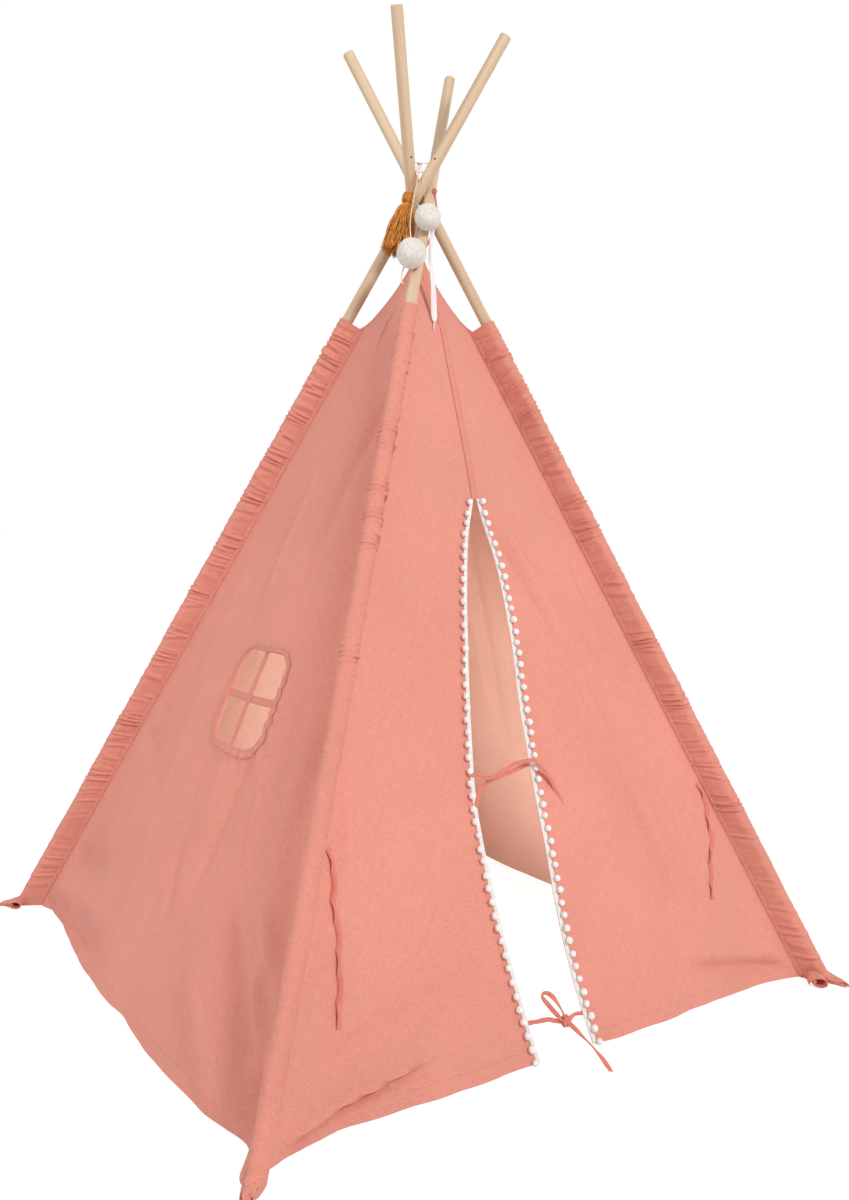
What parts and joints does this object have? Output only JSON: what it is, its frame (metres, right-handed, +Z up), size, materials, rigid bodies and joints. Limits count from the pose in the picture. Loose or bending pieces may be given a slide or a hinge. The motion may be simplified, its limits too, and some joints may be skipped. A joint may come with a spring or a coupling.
{
  "type": "play tent",
  "caption": "Child's play tent: crossed wooden poles in cloth sleeves, a peaked cotton cover with a slit door, pompom trim, a small window and hanging felt balls and tassel.",
  "frame": {"origin": "on the floor, at the middle of the base's bounding box", "axes": "+Z up; the door side faces -Y and the side with the window faces -X"},
  "size_m": [1.1404, 1.1118, 1.5765],
  "materials": {
    "pine": "sanded, unfinished",
    "steel": "plain tube",
    "cover": "matte cotton canvas",
    "sleeve": "matte cotton canvas, gathered",
    "trim": "white pompom tape",
    "felt": "felted wool",
    "mustard": "cotton yarn",
    "cord": "white cotton cord",
    "thread": "natural thread",
    "aglet": "clear plastic tip"
  },
  "bodies": {
    "back_right_leg": {"pole_lower_back_right": "pine", "pole_upper_back_right": "pine", "ferrule_back_right": "steel", "sleeve_back_right": "sleeve", "back_panel": "cover", "right_panel": "cover"},
    "crown": {"lashing_cord_front": "cord", "lashing_cord_rear": "cord", "apex_tie": "cover"},
    "back_left_leg": {"pole_lower_back_left": "pine", "pole_upper_back_left": "pine", "ferrule_back_left": "steel", "sleeve_back_left": "sleeve", "window_panel": "cover", "window_facing": "cover", "window_strap_vertical": "cover", "window_strap_horizontal": "cover"},
    "front_left_leg": {"pole_lower_front_left": "pine", "pole_upper_front_left": "pine", "ferrule_front_left": "steel", "sleeve_front_left": "sleeve", "front_panel_left": "cover", "centre_seam": "cover", "tieback_left": "sleeve", "lashing_lace": "cord", "lace_aglet": "aglet"},
    "front_right_leg": {"pole_lower_front_right": "pine", "pole_upper_front_right": "pine", "ferrule_front_right": "steel", "sleeve_front_right": "sleeve", "front_panel_right": "cover", "tieback_right": "sleeve"},
    "door_left": {"door_flap_left": "cover", "pompom_trim_left": "trim", "upper_tie_left": "sleeve", "lower_tie_left": "sleeve"},
    "door_right": {"door_flap_right": "cover", "pompom_trim_right": "trim", "upper_tie_right": "sleeve", "lower_tie_bow": "sleeve"},
    "tassel": {"tassel_cord": "mustard", "tassel_head": "mustard", "tassel_skirt": "mustard"},
    "ball_upper": {"ball_thread_upper": "thread", "felt_ball_upper": "felt"},
    "ball_lower": {"ball_thread_lower": "thread", "ball_thread_tail": "thread", "felt_ball_lower": "felt"}
  },
  "joints": [
    {"name": "fold", "type": "hinge", "parent": "back_right_leg", "child": "crown", "pos_m": [-0.01104, 0.01139, 1.32], "axis": [0.6961, -0.7179, 0], "range_deg": [0, 25], "deforming": ["window_panel", "right_panel", "back_panel", "front_panel_left", "front_panel_right", "centre_seam", "door_flap_left", "door_flap_right", "window_facing", "window_strap_vertical", "window_strap_horizontal", "sleeve_front_left", "sleeve_front_right", "sleeve_back_right", "sleeve_back_left", "tieback_left", "tieback_right", "apex_tie", "lashing_cord_front", "lashing_cord_rear", "lashing_lace", "lace_aglet", "tassel_cord", "tassel_skirt", "ball_thread_upper", "ball_thread_lower"]},
    {"name": "back_left_fold", "type": "hinge", "parent": "crown", "child": "back_left_leg", "pos_m": [-0.01104, -0.01139, 1.32], "axis": [-0.6961, -0.7179, 0], "range_deg": [0, 25]},
    {"name": "front_left_fold", "type": "hinge", "parent": "crown", "child": "front_left_leg", "pos_m": [0.01104, -0.01139, 1.32], "axis": [0.6961, -0.7179, 0], "range_deg": [0, 25]},
    {"name": "front_right_fold", "type": "hinge", "parent": "crown", "child": "front_right_leg", "pos_m": [0.01104, 0.01139, 1.32], "axis": [0.6961, 0.7179, 0], "range_deg": [0, 25]},
    {"name": "door_left_open", "type": "hinge", "parent": "front_left_leg", "child": "door_left", "pos_m": [0.00654, -0.17377, 0.79721], "axis": [-0.4309, -0.3203, -0.8437], "range_deg": [0, 150], "deforming": ["pompom_trim_left", "upper_tie_left", "lower_tie_left"]},
    {"name": "door_right_open", "type": "hinge", "parent": "front_right_leg", "child": "door_right", "pos_m": [0.00654, -0.17377, 0.79721], "axis": [-0.4195, 0.3222, 0.8487], "range_deg": [0, 150], "deforming": ["pompom_trim_right", "upper_tie_right", "lower_tie_bow"]},
    {"name": "tassel_swing", "type": "hinge", "parent": "crown", "child": "tassel", "pos_m": [-0.01028, -0.00438, 1.37126], "axis": [-0.8645, 0.5025, 0], "range_deg": [0, 30]},
    {"name": "ball_upper_swing", "type": "hinge", "parent": "crown", "child": "ball_upper", "pos_m": [-0.00526, -0.00729, 1.37126], "axis": [-0.8645, 0.5025, 0], "range_deg": [0, 30]},
    {"name": "ball_lower_swing", "type": "hinge", "parent": "crown", "child": "ball_lower", "pos_m": [-0.00777, -0.00583, 1.37126], "axis": [-0.8645, 0.5025, 0], "range_deg": [0, 30]}
  ],
  "couplings": [
    {"joint": "back_left_fold", "follows": "fold", "ratio": 1},
    {"joint": "front_left_fold", "follows": "fold", "ratio": 1},
    {"joint": "front_right_fold", "follows": "fold", "ratio": 1}
  ]
}
